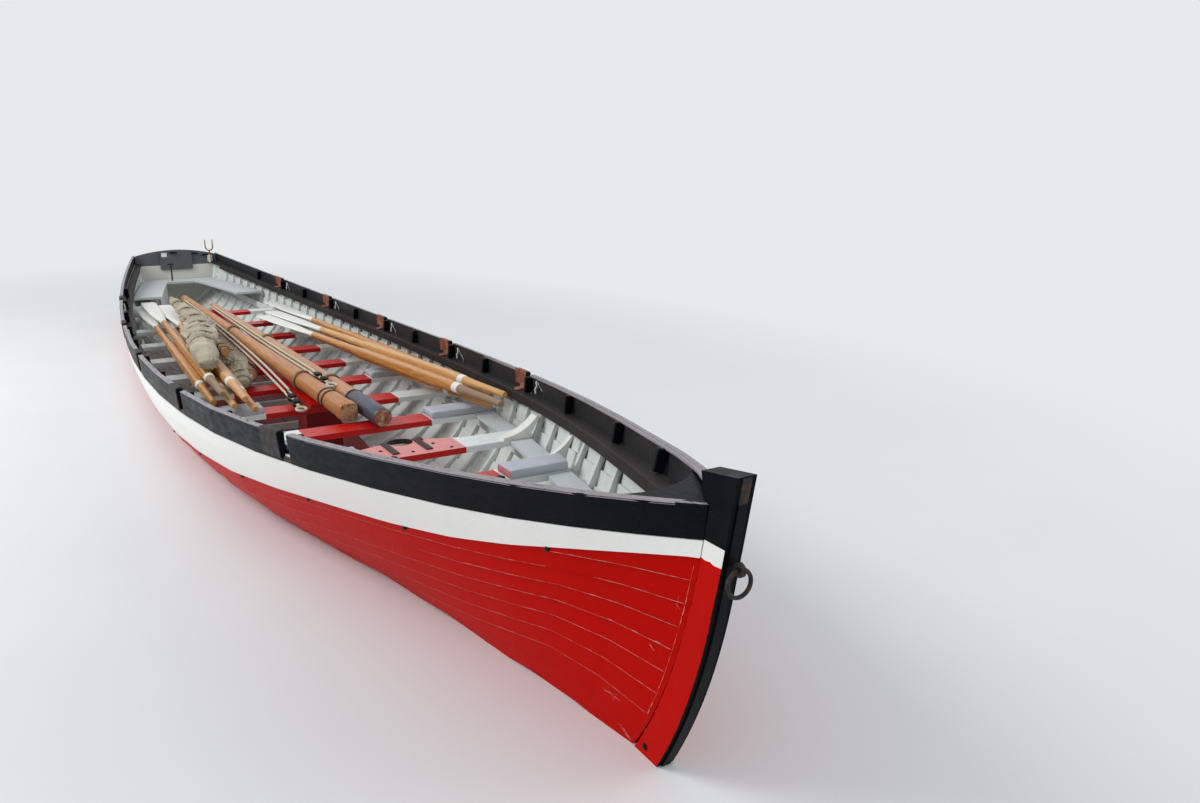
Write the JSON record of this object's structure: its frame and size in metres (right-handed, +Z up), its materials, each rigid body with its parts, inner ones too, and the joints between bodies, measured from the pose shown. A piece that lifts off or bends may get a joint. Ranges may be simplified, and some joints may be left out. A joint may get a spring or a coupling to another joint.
{
  "type": "rowing boat",
  "caption": "Open clinker longboat for rowers in single file, with staggered oar notches, thwarts, stowed oars, masts and furled sails, afloat at its waterline.",
  "frame": {"origin": "amidships on the centreline at the waterline", "axes": "+X towards the bow, +Y to port, +Z up"},
  "size_m": [11.6781, 2.0431, 1.392],
  "materials": {
    "red_paint": "gloss paint",
    "white_paint": "gloss paint",
    "black_paint": "satin paint",
    "pale_grey_paint": "satin paint",
    "thwart_paint": "gloss paint",
    "grey_pad": "matte foam",
    "oar_varnish": "varnish",
    "mast_varnish": "varnish",
    "canvas": "worn cloth",
    "leather": "worn leather",
    "iron": "weathered",
    "bronze": "weathered"
  },
  "bodies": {
    "hull": {"breasthook": "black_paint", "crutch_socket": "bronze", "floorboards": "pale_grey_paint", "foot_stretchers": "pale_grey_paint", "foremast": "mast_varnish", "furled_sails": "canvas", "gangboard": "red_paint", "inwales": "black_paint", "keel": "red_paint", "mainmast": "mast_varnish", "mast_straps": "iron", "mast_trunk": "red_paint", "oar_leathers": "leather", "oars_port": "oar_varnish", "oars_starboard": "oar_varnish", "ribs": "pale_grey_paint", "ring_eye": "iron", "risers": "pale_grey_paint", "rudder_gudgeons": "iron", "sheer_strake": "white_paint", "side_shelves": "pale_grey_paint", "stem": "red_paint", "stem_band": "black_paint", "stern_benches": "white_paint", "stern_pin": "iron", "sternpost": "red_paint", "strake_01": "red_paint", "strake_02": "red_paint", "strake_03": "red_paint", "strake_04": "red_paint", "strake_05": "red_paint", "strake_06": "red_paint", "strake_07": "red_paint", "strake_08": "red_paint", "strake_09": "red_paint", "strake_10": "red_paint", "strake_11": "red_paint", "thwart_01": "thwart_paint", "thwart_02": "thwart_paint", "thwart_03": "thwart_paint", "thwart_04": "thwart_paint", "thwart_05": "thwart_paint", "thwart_06": "thwart_paint", "thwart_07": "thwart_paint", "thwart_08": "thwart_paint", "thwart_09": "thwart_paint", "thwart_10": "thwart_paint", "thwart_knees": "white_paint", "thwart_pads": "grey_pad", "transom": "pale_grey_paint", "transom_backboard": "black_paint", "transom_board": "black_paint", "wash_posts": "black_paint", "wash_strake_port": "black_paint", "wash_strake_starboard": "black_paint", "yards": "mast_varnish"},
    "mooring_ring": {"mooring_ring": "iron"},
    "stern_crutch": {"stern_crutch": "bronze"},
    "foremast_gate": {"foremast_gate": "iron"}
  },
  "joints": [
    {"name": "mooring_ring_swing", "type": "hinge", "parent": "hull", "child": "mooring_ring", "pos_m": [5.779, 0, 0.79], "axis": [0, -1, 0], "range_deg": [0, 150]},
    {"name": "stern_crutch_swivel", "type": "hinge", "parent": "hull", "child": "stern_crutch", "pos_m": [-5.745, 0.412, 0.7], "axis": [0, 0, 1], "continuous": true},
    {"name": "foremast_gate_swing", "type": "hinge", "parent": "hull", "child": "foremast_gate", "pos_m": [2.981, 0.108, 0.41934], "axis": [0, 0, -1], "range_deg": [0, 110]}
  ]
}
